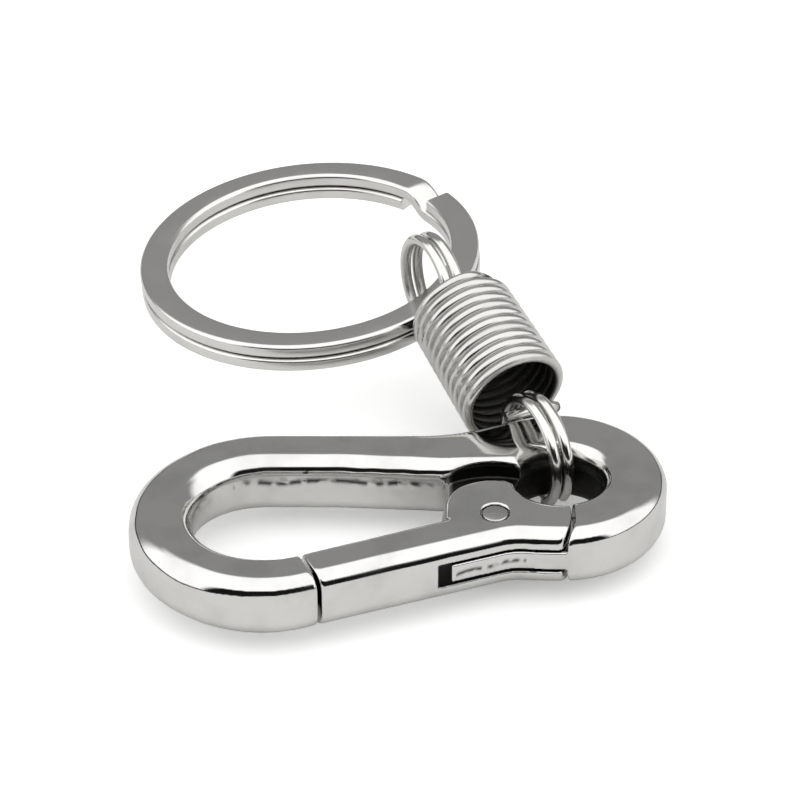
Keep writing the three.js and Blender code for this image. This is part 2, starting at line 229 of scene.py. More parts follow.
SLOT_HALF = (WEB_HIGH - WEB_LOW) / 2 + 0.25
PIN_R = 0.75
PIN_PLAY = 0.15
BODY_GRID = 0.15  # spacing of the points that the casting's skin is made from
SKIN_GRAIN = 3.1  # size of the slow waves that tumbling leaves
SKIN_DEPTH = 0.010
MARK_DEPTH = 0.07  # of the parting line inside the loop
MARK_AT = 0.62 * THICK  # its height
MARK_WIDTH = 0.26
SEAM_WIDTH = 0.17  # of the finer line on the web's outer face
NOSE_SOFTER = 0.45  # extra rounding of the nose's edges

body_low, body_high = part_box("carabiner_body")
# Middle of the nose arc on the underside: the castings are drawn from there.
NOSE_AT = (
    body_low.x / MM + NOSE_R,
    body_high.y / MM - HEAD[1] - HEAD_R,
    body_low.z / MM,
)


def arc(centre, radius, start, end, steps=60):
    angles = np.radians(np.linspace(start, end, steps))
    return [(centre[0] + radius * math.cos(a), centre[1] + radius * math.sin(a)) for a in angles]


def bezier(corners, steps=20):
    found = []
    for t in np.linspace(0, 1, steps):
        points = [np.array(p, float) for p in corners]
        while len(points) > 1:
            points = [a + (b - a) * t for a, b in zip(points, points[1:])]
        found.append(tuple(points[0]))
    return found


def outline():
    """Outside of the closed carabiner, counter-clockwise from the waist."""
    ux, uy = math.cos(GATE_SLOPE), math.sin(GATE_SLOPE)
    foot = (NOSE_R * uy, -NOSE_R * ux)
    waist_y = foot[1] + (WAIST_X - foot[0]) * uy / ux
    before = (WAIST_X - 0.9 * ux, waist_y - 0.9 * uy)
    after = (WAIST_X + 0.9, waist_y - 0.05)
    points = bezier([before, (WAIST_X, waist_y), after], 8)
    points += bezier([after, (HEAD[0] - 1.6, HEAD_FRONT_Y), (HEAD[0], HEAD_FRONT_Y)], 12)[1:]
    points += arc(HEAD, HEAD_R, -90, 116, 110)[1:]
    shoulder = [points[-1], (HEAD[0] - 6.4, HEAD[1] + 6.75), (15.4, NOSE_R), (13.2, NOSE_R)]
    points += bezier(shoulder, 28)[1:]
    points += arc((0, 0), NOSE_R, 90, 270 + math.degrees(GATE_SLOPE), 110)
    return points


def loop(right):
    """Inside of the loop; right holds its last corners, from the spine to the gate."""
    ux, uy = math.cos(GATE_IN_SLOPE), math.sin(GATE_IN_SLOPE)
    start = (NOSE_IN[0] + NOSE_IN_R * uy, NOSE_IN[1] - NOSE_IN_R * ux)
    end_x = right[-1][0]
    points = [(6.0, SPINE_IN_Y), SPINE_IN_END, *right]
    points.append((end_x, start[1] + (end_x - start[0]) * uy / ux))
    turn = -90 + math.degrees(GATE_IN_SLOPE)
    return points + arc(NOSE_IN, NOSE_IN_R, turn, -270, 90)


def to_outline(x, y, points):
    """Distance to a closed outline in plan, negative inside it."""
    nearest = np.full(x.shape, 1e9)
    inside = np.zeros(x.shape, bool)
    for (ax, ay), (bx, by) in zip(points, points[1:] + points[:1]):
        ex, ey = bx - ax, by - ay
        if ex * ex + ey * ey < 1e-12:
            continue
        share = np.clip(((x - ax) * ex + (y - ay) * ey) / (ex * ex + ey * ey), 0, 1)
        nearest = np.minimum(nearest, (x - ax - share * ex) ** 2 + (y - ay - share * ey) ** 2)
        if ay != by:
            inside ^= ((ay > y) != (by > y)) & (x < (y - ay) * ex / ey + ax)
    return np.where(inside, -1, 1) * np.sqrt(nearest)


def to_point(x, y, centre):
    return np.hypot(x - centre[0], y - centre[1])


def plate(plan, z, edge):
    """A plate as thick as the casting, its edges rounded."""
    side = plan + edge
    top = np.abs(z - THICK / 2) - (THICK / 2 - edge)
    away = np.hypot(np.maximum(side, 0), np.maximum(top, 0))
    return np.minimum(np.maximum(side, top), 0) + away - edge


def both(a, b, soft):
    """What two solids share, with the edge between them broken."""
    near = np.maximum(soft - np.abs(a - b), 0) / soft
    return np.maximum(a, b) + near * near * soft / 4


def either(a, b, soft):
    return -both(-a, -b, soft)


def gate_space(x, y, grow):
    """What the gate takes up in plan, widened by grow."""
    tip, heel = 170, 235
    arm = [PIVOT] + arc(PIVOT, GATE_REACH + grow, tip, heel, 90)
    tail = [PIVOT] + arc(PIVOT, TAIL_R + grow, heel - 17 - 360, 24, 70)
    return np.minimum(
        np.minimum(to_outline(x, y, arm), to_outline(x, y, tail)),
        to_point(x, y, PIVOT) - EAR_R - grow,
    )


def waves(x, y, z, size, seed, count=14):
    """Smooth random relief between about -1 and 1."""
    random = np.random.default_rng(seed)
    total = 0.0
    for _ in range(count):
        heading = random.normal(size=3)
        heading *= 2 * math.pi / size / np.linalg.norm(heading) * random.uniform(0.6, 1.4)
        total = total + np.sin(heading[0] * x + heading[1] * y + heading[2] * z + random.uniform(0, 6.3))
    return total / math.sqrt(count / 2) / 1.6


def space(low, high, step):
    """Three open grids of coordinates round a box."""
    counts = [int(math.ceil((b - a) / step)) + 5 for a, b in zip(low, high)]
    axes = [a - 2 * step + step * np.arange(n) for a, n in zip(low, counts)]
    return np.meshgrid(*axes, indexing="ij", sparse=True)


def skin(field, low, step):
    """The closed surface where a field is zero: one point in each cell that it crosses."""
    inside = field < 0
    cells = tuple(n - 1 for n in field.shape)
    total = np.zeros(cells + (3,))
    crossings = np.zeros(cells)
    for axis in range(3):
        ends = [slice(None)] * 3
        ends[axis] = slice(0, -1)
        starts = [slice(None)] * 3
        starts[axis] = slice(1, None)
        a, b = field[tuple(ends)], field[tuple(starts)]
        crosses = inside[tuple(ends)] != inside[tuple(starts)]
        share = np.where(crosses, a / np.where(crosses, a - b, 1), 0)
        others = [k for k in range(3) if k != axis]
        for i in (0, 1):
            for j in (0, 1):
                part = [slice(None)] * 3
                part[others[0]] = slice(i, i + cells[others[0]])
                part[others[1]] = slice(j, j + cells[others[1]])
                hit = crosses[tuple(part)]
                total[..., axis] += share[tuple(part)] * hit
                total[..., others[0]] += i * hit
                total[..., others[1]] += j * hit
                crossings += hit
    used = crossings > 0
    index = np.full(cells, -1)
    index[used] = np.arange(used.sum())
    at = np.argwhere(used) + total[used] / crossings[used][:, None]
    faces = []
    for axis in range(3):
        u, v = [k for k in range(3) if k != axis]
        ends = [slice(1, -1)] * 3
        ends[axis] = slice(0, -1)
        starts = [slice(1, -1)] * 3
        starts[axis] = slice(1, None)
        a, b = inside[tuple(ends)], inside[tuple(starts)]
        for out_first, chosen in ((False, a & ~b), (True, ~a & b)):
            spots = np.argwhere(chosen)
            spots[:, u] += 1
            spots[:, v] += 1
            ring = []
            for du, dv in ((-1, -1), (0, -1), (0, 0), (-1, 0)):
                spot = spots.copy()
                spot[:, u] += du
                spot[:, v] += dv
                ring.append(index[spot[:, 0], spot[:, 1], spot[:, 2]])
            quad = np.stack(ring, axis=1)
            if (axis == 1) != out_first:
                quad = quad[:, ::-1]
            faces.append(quad)
    faces = np.concatenate(faces)
    at = settle(at, field)
    start = np.array(low) - 2 * step
    return start + at * step, faces


def sample(field, at):
    """The field between its grid points."""
    base = np.clip(np.floor(at).astype(int), 0, np.array(field.shape) - 2)
    part = at - base
    total = 0.0
    for i in (0, 1):
        for j in (0, 1):
            for k in (0, 1):
                weight = (
                    np.where(i, part[:, 0], 1 - part[:, 0])
                    * np.where(j, part[:, 1], 1 - part[:, 1])
                    * np.where(k, part[:, 2], 1 - part[:, 2])
                )
                total = total + weight * field[base[:, 0] + i, base[:, 1] + j, base[:, 2] + k]
    return total


def settle(at, field, rounds=3):
    """Moves the skin's points onto the surface, along the way it faces."""
    for _ in range(rounds):
        value = sample(field, at)
        slope = np.stack(
            [(sample(field, at + d) - sample(field, at - d)) for d in np.eye(3) * 0.5], axis=1
        )
        size = np.maximum((slope**2).sum(axis=1), 1e-6)
        move = -slope * (value / size)[:, None]
        at = at + np.clip(move, -0.3, 0.3)
    return at


def rising(value, start, width):
    """0 up to start, 1 past start + width."""
    return np.clip((value - start) / width, 0, 1)


def painted_shade_at(x, y, z):
    """Painted shade, 0 to 1, deepest in the eye, the ears' pocket and the fork's slot, where shade falls.
    """
    eye = rising(-to_point(x, y, EYE), -EYE_R - 0.75, 0.5) * rising(THICK - z, 0.5, 1.6)
    well = rising(-to_point(x, y, PIVOT), -POCKET_R - 0.3, 0.3) * rising(THICK - z, 0.25, 0.5)
    well *= rising(y, 2.6, 0.8) * rising(x, WEB_LEFT_X - 0.4, 0.6)
    off = np.abs(z - WEB_MIDDLE)
    fork = (x > SLOT_X - 0.1) & (x < 22.3) & (y < 2.2) & (off < SLOT_HALF + 0.04)
    fork &= (x < WEB_LEFT_X - 0.1) | (off > SLOT_HALF - 0.14)
    return np.maximum(np.maximum(eye, well), 0.85 * fork)


def scar_at(x, y, z):
    """Casting marks, 0 to 1: the broken parting line inside the loop, and a torn seam outside
    the web."""
    line = np.exp(-(((z - MARK_AT - 0.22 * waves(x, y, z * 0, 5.0, 21)) / 0.24) ** 2))
    broken = np.clip(waves(x, y, z, 1.3, 5) * 1.4 + 0.75, 0, 1)
    inside = (y > 3.6) & (y < 7.2) & (x > -2.5) & (x < 15)
    face = (x > 15.8) & (x < 21.5) & (y < -1.5)
    middle = WEB_MIDDLE + 0.12 * waves(x, y * 0, z * 0, 2.6, 17)
    seam = np.exp(-(((z - middle) / SEAM_WIDTH) ** 2))
    torn = np.clip(waves(x, y, z, 0.8, 8) * 1.6 + 0.85, 0, 1)
    return np.clip(line * broken * inside + seam * torn * face, 0, 1)


def casting(name, points, faces, material):
    mesh = bpy.data.meshes.new(name)
    mesh.from_pydata(((points + NOSE_AT) * MM).tolist(), [], faces.tolist())
    # One layer holds painted shade for the recesses, the other the casting marks.
    for label, value_at in (("hollow", painted_shade_at), ("scar", scar_at)):
        layer = mesh.attributes.new(label, "FLOAT", "POINT")
        layer.data.foreach_set("value", value_at(*points.astype(float).T).astype(np.float32))
    mesh.materials.append(material)
    mesh.shade_smooth()
    mesh.update()
    found = bpy.data.objects.new(name, mesh)
    bpy.context.scene.collection.objects.link(found)
    return found


def body_field(x, y, z):
    around = to_outline(*np.broadcast_arrays(x[..., 0], y[..., 0]), outline())[..., None]
    plan_x, plan_y = np.broadcast_arrays(x[..., 0], y[..., 0])
    right = [(CHANNEL_END_X, 5.7), (CHANNEL_END_X, 2.2), (WEB_LEFT_X, 1.2)]
    inner = to_outline(plan_x, plan_y, loop(right))[..., None]
    gate = gate_space(plan_x, plan_y, SLIT)[..., None]
    eye = plate(EYE_R - to_point(x, y, EYE), z, EYE_EDGE_R)
    edge = EDGE_R + NOSE_SOFTER * np.clip(-x / 6, 0, 1)
    solid = plate(both(around, -inner, 0.2), z, edge)
    wedge = [PIVOT] + arc(PIVOT, POCKET_R, POCKET_FROM, POCKET_TO)
    pocket = to_outline(plan_x, plan_y, wedge)[..., None]
    solid = both(solid, -pocket, 0.12)
    solid = both(solid, -gate, 0.22)
    wanted = [(WEB_LEFT_X, -9), (27, -9), (27, 3), (22.5, 7), (22.5, 9), (WEB_LEFT_X, 9)]
    web = both(around, to_outline(plan_x, plan_y, wanted)[..., None], 0.2)
    web = both(web, np.abs(z - WEB_MIDDLE) - (WEB_HIGH - WEB_LOW) / 2, 0.15)
    solid = both(either(solid, web, 0.1), eye, 0.15)
    solid = both(solid, PIN_R + PIN_PLAY - to_point(x, y, PIVOT), 0.1)
    parting = np.exp(-(((z - MARK_AT) / MARK_WIDTH) ** 2)) * np.exp(-((inner / 0.5) ** 2))
    broken = np.maximum(waves(x, y, z, 1.1, 5) + 0.25, 0)
    relief = SKIN_DEPTH * waves(x, y, z, SKIN_GRAIN, 3)
    return solid + relief - MARK_DEPTH * parting * broken


def noise_node(tree, vector, scale, detail=2.0):
    node = new_node(tree, "ShaderNodeTexNoise")
    tree.links.new(vector, node.inputs["Vector"])
    node.inputs["Scale"].default_value = scale
    node.inputs["Detail"].default_value = detail
    return node.outputs["Fac"]


def group_tree(name, inputs, outputs):
    """An empty shader group with its sockets, and its two end nodes."""
    tree = bpy.data.node_groups.new(name, "ShaderNodeTree")
    for label, kind, value in inputs:
        socket = tree.interface.new_socket(label, in_out="INPUT", socket_type=kind)
        if value is not None:
            socket.default_value = value
    for label, kind in outputs:
        tree.interface.new_socket(label, in_out="OUTPUT", socket_type=kind)
    return tree, new_node(tree, "NodeGroupInput"), new_node(tree, "NodeGroupOutput")


def hairlines(tree, vector, turn, across, fine):
    """Thin scratches that run one way: noise drawn out along a turned axis."""
    turned = new_node(tree, "ShaderNodeMapping")
    tree.links.new(vector, turned.inputs["Vector"])
    turned.inputs["Rotation"].default_value = (0, 0.3 * turn, turn)
    turned.inputs["Scale"].default_value = (1, across, across)
    lines = noise_node(tree, turned.outputs[0], fine, 1.0)
    return ramp_between(tree, lines, 0.69, 0.75)


# Near-black: the painted shade in recesses, and the colour of the casting marks.
SHADE_AND_SCAR_DARK = (0.035, 0.034, 0.032, 1)


def plated_wear_and_shade():
    """Plated metal in use: uneven tint, dulled patches, hairline scratches and small pits.

    The recess input paints near-black shade into the hollows where shade falls; Scar darkens the casting
    marks."""
    tree, given, result = group_tree(
        "plated_wear_and_shade",
        [
            ("Vector", "NodeSocketVector", None),
            ("Bright", "NodeSocketColor", (0.7, 0.7, 0.69, 1)),
            ("Dull", "NodeSocketColor", (0.5, 0.5, 0.49, 1)),
            ("Polish", "NodeSocketFloat", 0.06),
            ("Haze", "NodeSocketFloat", 0.12),
            ("Scratches", "NodeSocketFloat", 0.5),
            ("Pits", "NodeSocketFloat", 0.5),
            ("Shade", "NodeSocketFloat", 0.0),
            ("Scar", "NodeSocketFloat", 0.0),
        ],
        [("Color", "NodeSocketColor"), ("Roughness", "NodeSocketFloat"), ("Height", "NodeSocketFloat")],
    )
    vector = given.outputs["Vector"]
    patches = ramp_between(tree, noise_node(tree, vector, 260, 4.0), 0.42, 0.72)
    lines = math_node(
        tree, "MAXIMUM", hairlines(tree, vector, 0.5, 22, 260), hairlines(tree, vector, -1.1, 30, 200)
    )
    lines = math_node(tree, "MULTIPLY", lines, given.outputs["Scratches"])
    cells = new_node(tree, "ShaderNodeTexVoronoi")
    tree.links.new(vector, cells.inputs["Vector"])
    cells.inputs["Scale"].default_value = 1500
    pits = ramp_between(tree, cells.outputs["Distance"], 0.18, 0.05)
    pits = math_node(tree, "MULTIPLY", pits, ramp_between(tree, noise_node(tree, vector, 420), 0.55, 0.7))
    pits = math_node(tree, "MULTIPLY", pits, given.outputs["Pits"])
    tint = new_node(tree, "ShaderNodeMix", data_type="RGBA")
    worn = math_node(tree, "MAXIMUM", math_node(tree, "MULTIPLY", patches, 0.35), pits)
    worn = math_node(tree, "MAXIMUM", worn, math_node(tree, "MULTIPLY", lines, 0.4))
    tree.links.new(worn, tint.inputs["Factor"])
    tree.links.new(given.outputs["Bright"], tint.inputs["A"])
    tree.links.new(given.outputs["Dull"], tint.inputs["B"])
    # Painted shade and the real casting marks both pull the colour to near-black.
    shade_and_scar = math_node(tree, "MAXIMUM", given.outputs["Shade"], given.outputs["Scar"])
    deep = new_node(tree, "ShaderNodeMix", data_type="RGBA")
    tree.links.new(shade_and_scar, deep.inputs["Factor"])
    tree.links.new(tint.outputs["Result"], deep.inputs["A"])
    deep.inputs["B"].default_value = SHADE_AND_SCAR_DARK
    tree.links.new(deep.outputs["Result"], result.inputs["Color"])
    rough = math_node(tree, "MULTIPLY", given.outputs["Haze"], patches)
    rough = math_node(tree, "ADD", rough, given.outputs["Polish"])
    rough = math_node(tree, "ADD", rough, math_node(tree, "MULTIPLY", lines, 0.12))
    rough = math_node(tree, "ADD", rough, math_node(tree, "MULTIPLY", shade_and_scar, 0.30))
    tree.links.new(rough, result.inputs["Roughness"])
    grain = math_node(tree, "MULTIPLY", noise_node(tree, vector, 900, 3.0), 0.25)
    dents = math_node(tree, "ADD", math_node(tree, "MULTIPLY", lines, 0.5), pits)
    tree.links.new(math_node(tree, "SUBTRACT", grain, dents), result.inputs["Height"])
    return tree


wear_and_shade = plated_wear_and_shade()


def plated(name, vector_of, recess="hollow", scar="scar", bump=0.000008, **values):
    """A plated metal: the wear group, which also paints shade, drives one Principled shader."""
    material = bpy.data.materials.new(name)
    material.use_nodes = True
    tree = material.node_tree
    shader = tree.nodes["Principled BSDF"]
    shader.inputs["Metallic"].default_value = 1.0
    group = new_node(tree, "ShaderNodeGroup", node_tree=wear_and_shade)
    for label, value in values.items():
        group.inputs[label.capitalize()].default_value = value
    tree.links.new(vector_of(tree), group.inputs["Vector"])
    # The recess layer is painted shade; the scar layer holds the casting marks.
    for label, layer in (("Shade", recess), ("Scar", scar)):
        painted = new_node(tree, "ShaderNodeAttribute", attribute_name=layer)
        tree.links.new(painted.outputs["Fac"], group.inputs[label])
    tree.links.new(group.outputs["Color"], shader.inputs["Base Color"])
    tree.links.new(group.outputs["Roughness"], shader.inputs["Roughness"])
    relief = new_node(tree, "ShaderNodeBump")
    relief.inputs["Distance"].default_value = bump
    tree.links.new(group.outputs["Height"], relief.inputs["Height"])
    tree.links.new(relief.outputs["Normal"], shader.inputs["Normal"])
    return material


def from_object(tree):
    return new_node(tree, "ShaderNodeTexCoord").outputs["Object"]


cast_chrome = plated(
    "cast_chrome",
    from_object,
    bright=(0.72, 0.715, 0.70, 1),
    dull=(0.46, 0.455, 0.44, 1),
    polish=0.06,
    haze=0.08,
    scratches=0.16,
    pits=0.35,
)

body_box = ((-NOSE_R, -NOSE_R, 0), (HEAD[0] + HEAD_R, HEAD[1] + HEAD_R, THICK))
body_points, body_faces = skin(body_field(*space(*body_box, BODY_GRID)), body_box[0], BODY_GRID)
carabiner_casting = casting("carabiner_casting", body_points, body_faces, cast_chrome)
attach(carabiner_casting, "carabiner")
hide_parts("carabiner_body")

# ---- Gate --------------------------------------------------------------------------------
# A second casting that closes the loop. It is forked at the back: its two ears straddle the
# body's web, turn on the rivet and end in a short tail in front of the eye.
BORE_R = 1.05
BORE_DEPTH = 4.6
BORE_Y = -2.9
PIN_HEAD_R = 1.05
PIN_HEAD_H = 0.7
GATE_GRID = 0.12


def gate_field(x, y, z):
    plan_x, plan_y = np.broadcast_arrays(x[..., 0], y[..., 0])
    around = to_outline(plan_x, plan_y, outline())[..., None]
    inner = to_outline(plan_x, plan_y, loop([(14.7, 3.2)]))[..., None]
    solid = plate(both(around, -inner, 0.4), z, EDGE_R)
    solid = both(solid, gate_space(plan_x, plan_y, 0)[..., None], 0.3)
    solid = both(solid, plate(EYE_R + 0.15 - to_point(x, y, EYE), z, EYE_EDGE_R), 0.12)
    slot = np.maximum(SLOT_X - x, np.abs(z - WEB_MIDDLE) - SLOT_HALF)
    solid = both(solid, -slot, 0.14)
    ux, uy = -math.cos(GATE_SLOPE), -math.sin(GATE_SLOPE)
    deep = (x - SLOT_X) * ux + (y - BORE_Y) * uy
    aside = np.hypot((x - SLOT_X) * uy - (y - BORE_Y) * ux, z - THICK / 2)
    bore = np.maximum(aside - BORE_R, np.maximum(deep - BORE_DEPTH, -1 - deep))
    solid = np.maximum(solid, -bore)
    from_pin = to_point(x, y, PIVOT)
    solid = both(solid, PIN_R + PIN_PLAY - from_pin, 0.1)
    from_face = THICK / 2 - np.abs(z - THICK / 2)
    recess = np.maximum(from_pin - PIN_HEAD_R - PIN_PLAY, from_face - PIN_HEAD_H - 0.15)
    solid = both(solid, -recess, 0.1)
    return solid + SKIN_DEPTH * waves(x, y, z, SKIN_GRAIN, 9)


gate_low, gate_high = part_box("gate")
gate_box = tuple(
    tuple(corner[k] / MM - NOSE_AT[k] for k in range(3)) for corner in (gate_low, gate_high)
)
gate_points, gate_faces = skin(gate_field(*space(*gate_box, GATE_GRID)), gate_box[0], GATE_GRID)
gate_casting = casting("gate_casting", gate_points, gate_faces, cast_chrome)
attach(gate_casting, "gate_lever")
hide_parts("gate")

# ---- Gate rivet --------------------------------------------------------------------------
# A steel rivet through both ears and the web. Each end is peened into a low dome inside its
# recess, and it is plated with the rest.
HEAD_RISE = 0.035


def turned(name, profile, centre, sides, material):
    """A piece turned about a vertical axis: profile holds radius and height from the foot."""
    points = []
    faces = []
    for r, z in profile[1:-1]:
        for k in range(sides):
            a = 2 * math.pi * k / sides
            points.append((centre[0] + r * math.cos(a), centre[1] + r * math.sin(a), z))
    rows = len(profile) - 2
    for row in range(rows - 1):
        for k in range(sides):
            a, b = row * sides + k, row * sides + (k + 1) % sides
            faces.append((a, b, b + sides, a + sides))
    points.append((*centre, profile[0][1]))
    points.append((*centre, profile[-1][1]))
    for k in range(sides):
        faces.append((len(points) - 2, (k + 1) % sides, k))
        top = (rows - 1) * sides
        faces.append((len(points) - 1, top + k, top + (k + 1) % sides))
    return casting(name, np.array(points), np.array(faces, dtype=object), material)


def rivet_profile():
    """Low dome, rolled rim, shank, and the same again upwards."""
    half = []
    for a in np.linspace(0, 1, 9):
        half.append((a * (PIN_HEAD_R - 0.12), -HEAD_RISE * (1 - a * a)))
    for a in np.radians(np.linspace(-75, 0, 5)):
        half.append((PIN_HEAD_R - 0.12 + 0.12 * math.cos(a), 0.12 + 0.12 * math.sin(a)))
    half += [(PIN_HEAD_R, PIN_HEAD_H), (PIN_R, PIN_HEAD_H + 0.02), (PIN_R, THICK / 2)]
    foot = 0.10
    lower = [(r, z + foot) for r, z in half]
    upper = [(r, THICK - foot - z) for r, z in reversed(half[:-1])]
    return lower + upper


pin_steel = plated(
    "pin_steel",
    from_object,
    bright=(0.60, 0.595, 0.58, 1),
    dull=(0.34, 0.335, 0.32, 1),
    polish=0.16,
    haze=0.12,
    scratches=0.4,
    pits=0.5,
)
gate_rivet = turned("gate_rivet", rivet_profile(), PIVOT, 48, pin_steel)
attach(gate_rivet, "carabiner")
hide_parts("gate_pivot_pin")


# ---- Split rings -------------------------------------------------------------------------
# Each small ring is nickel-plated wire, just under 1 mm thick, wound into two close turns.
# Half way along it steps from one turn to the other beside its two cut ends.
RING_WIRE = 0.94
FRONT_RING_R = 4.5
REAR_RING_R = 4.2
RING_STEP = 1.12
RING_CUT = 0.5
RING_STEP_HALF = 0.42
FRONT_OPEN = math.radians(-115)
REAR_OPEN = math.radians(-138)
KEY_HANG = 1.8


def geometry_tree(name, inputs):
    """An empty geometry tree with named inputs, its input node and its output node."""
    tree = bpy.data.node_groups.new(name, "GeometryNodeTree")
    for label, kind, value in inputs:
        socket = tree.interface.new_socket(label, in_out="INPUT", socket_type=kind)
        if value is not None:
            socket.default_value = value
    tree.interface.new_socket("Geometry", in_out="OUTPUT", socket_type="NodeSocketGeometry")
    return tree, new_node(tree, "NodeGroupInput"), new_node(tree, "NodeGroupOutput")


def feed(tree, node, **values):
    """Sets a node's named inputs, from sockets or from plain values."""
    for label, value in values.items():
        socket = node.inputs[label.replace("_", " ")]
        if isinstance(value, bpy.types.NodeSocket):
            tree.links.new(value, socket)
        else:
            socket.default_value = value
    return node


def mark(tree, geometry, name, value, domain="POINT"):
    node = new_node(tree, "GeometryNodeStoreNamedAttribute", data_type="FLOAT", domain=domain)
    return feed(tree, node, Geometry=geometry, Name=name, Value=value).outputs["Geometry"]


def sweep(tree, given, result, path):
    """Sweeps a rounded section along a path, and finishes the tree."""
    section = feed(
        tree,
        new_node(tree, "GeometryNodeCurvePrimitiveQuadrilateral"),
        Width=given.outputs["Width"],
        Height=given.outputs["Height"],
    ).outputs[0]
    section = feed(
        tree,
        new_node(tree, "GeometryNodeFilletCurve", mode="POLY"),
        Curve=section,
        Radius=given.outputs["Corner"],
        Count=given.outputs["Corner steps"],
    ).outputs[0]
    spot = new_node(tree, "GeometryNodeSplineParameter")
    section = mark(tree, section, "around", spot.outputs["Factor"])
    spot = new_node(tree, "GeometryNodeSplineParameter")
    path = mark(tree, path, "along", spot.outputs["Length"])
    swept = new_node(tree, "GeometryNodeCurveToMesh")
    feed(tree, swept, Curve=path, Profile_Curve=section, Fill_Caps=True)
    at = new_node(tree, "ShaderNodeSeparateXYZ")
    tree.links.new(new_node(tree, "GeometryNodeInputPosition").outputs[0], at.inputs[0])
    reach = math_node(
        tree,
        "SQRT",
        math_node(
            tree,
            "ADD",
            math_node(tree, "MULTIPLY", at.outputs["X"], at.outputs["X"]),
            math_node(tree, "MULTIPLY", at.outputs["Y"], at.outputs["Y"]),
        ),
    )
    # Painted shade on the side of the wire that faces the winding's middle, set by the section's shade
    # input.
    inset = math_node(tree, "SUBTRACT", given.outputs["Radius"], reach)
    inset = math_node(tree, "DIVIDE", inset, math_node(tree, "MULTIPLY", given.outputs["Width"], 0.5))
    inner_shade = math_node(
        tree, "MULTIPLY", ramp_between(tree, inset, 0.15, 0.7), ramp_between(tree, inset, 2.6, 1.8)
    )
    inner_shade = math_node(tree, "MULTIPLY", inner_shade, given.outputs["Hollow"])
    shaded_mesh = mark(tree, swept.outputs[0], "hollow", inner_shade)
    smooth = feed(tree, new_node(tree, "GeometryNodeSetShadeSmooth"), Geometry=shaded_mesh)
    whole = feed(tree, new_node(tree, "GeometryNodeRealizeInstances"), Geometry=smooth.outputs[0])
    covered = new_node(tree, "GeometryNodeSetMaterial")
    feed(tree, covered, Geometry=whole.outputs[0], Material=given.outputs["Material"])
    tree.links.new(covered.outputs[0], result.inputs["Geometry"])


# The section's shade input sets how strongly painted shade darkens the wire's inner side.
SECTION_INPUTS = [
    ("Width", "NodeSocketFloat", 1.0),
    ("Height", "NodeSocketFloat", 1.0),
    ("Corner", "NodeSocketFloat", 0.5),
    ("Corner steps", "NodeSocketInt", 6),
    ("Hollow", "NodeSocketFloat", 0.0),
    ("Material", "NodeSocketMaterial", None),
]


def split_ring_tree():
    """Two turns of a bar about Z, with a smooth step between them half way along."""
    tree, given, result = geometry_tree(
        "split_ring",
        [
            ("Geometry", "NodeSocketGeometry", None),
            ("Radius", "NodeSocketFloat", 4.5),
            ("Cut", "NodeSocketFloat", 0.5),
            ("Step half", "NodeSocketFloat", 0.4),
            ("Rise", "NodeSocketFloat", 1.1),
            ("Steps", "NodeSocketInt", 300),
        ]
        + SECTION_INPUTS,
    )
    line = feed(
        tree,
        new_node(tree, "GeometryNodeResampleCurve"),
        Curve=new_node(tree, "GeometryNodeCurvePrimitiveLine").outputs[0],
        Count=given.outputs["Steps"],
    )
    share = new_node(tree, "GeometryNodeSplineParameter").outputs["Factor"]
    cut = given.outputs["Cut"]
    sweep_angle = math_node(tree, "SUBTRACT", 4 * math.pi, math_node(tree, "MULTIPLY", cut, 2.0))
    angle = math_node(tree, "ADD", cut, math_node(tree, "MULTIPLY", share, sweep_angle))
    half = given.outputs["Step half"]
    climb = new_node(tree, "ShaderNodeMapRange", interpolation_type="SMOOTHERSTEP")
    feed(
        tree,
        climb,
        Value=angle,
        From_Min=math_node(tree, "SUBTRACT", 2 * math.pi, half),
        From_Max=math_node(tree, "ADD", half, 2 * math.pi),
        To_Min=math_node(tree, "MULTIPLY", given.outputs["Rise"], -0.5),
        To_Max=math_node(tree, "MULTIPLY", given.outputs["Rise"], 0.5),
    )
    radius = given.outputs["Radius"]
    place = feed(
        tree,
        new_node(tree, "ShaderNodeCombineXYZ"),
        X=math_node(tree, "MULTIPLY", radius, math_node(tree, "COSINE", angle)),
        Y=math_node(tree, "MULTIPLY", radius, math_node(tree, "SINE", angle)),
        Z=climb.outputs["Result"],
    )
    bent = new_node(tree, "GeometryNodeSetPosition")
    feed(tree, bent, Geometry=line.outputs[0], Position=place.outputs[0])
    level_path = new_node(tree, "GeometryNodeSetCurveNormal", mode="Z_UP")
    feed(tree, level_path, Curve=bent.outputs[0])
    sweep(tree, given, result, level_path.outputs[0])
    return tree


def grown(name, host, tree, matrix, edge=0.0, **values):
    """Runs a geometry tree on a host, and keeps what it makes as one plain mesh in metres."""
    carrier = bpy.data.objects.new(name + "_path", host)
    bpy.context.scene.collection.objects.link(carrier)
    modifier = carrier.modifiers.new("grow", "NODES")
    modifier.node_group = tree
    inputs = {
        item.name: item.identifier
        for item in tree.interface.items_tree
        if item.item_type == "SOCKET" and item.in_out == "INPUT"
    }
    for label, value in values.items():
        modifier[inputs[label.replace("_", " ").capitalize()]] = value
    if edge:
        bevel = carrier.modifiers.new("broken_edge", "BEVEL")
        bevel.width = edge
        bevel.segments = 2
        bevel.limit_method = "ANGLE"
        bevel.angle_limit = math.radians(50)
    grown_mesh = bpy.data.meshes.new_from_object(
        carrier.evaluated_get(bpy.context.evaluated_depsgraph_get())
    )
    bpy.data.objects.remove(carrier)
    grown_mesh.transform(Matrix.Scale(MM, 4) @ matrix)
    grown_mesh.name = name
    found = bpy.data.objects.new(name, grown_mesh)
    bpy.context.scene.collection.objects.link(found)
    return found


def joint_place(name):
    """Where a joint of the frame stands, in millimetres, and the way its axis points."""
    joint = next(j for j in frame["joints"] if j["name"] == name)
    return Vector(joint["pos_m"]) / MM, Vector(joint["axis"]).normalized()


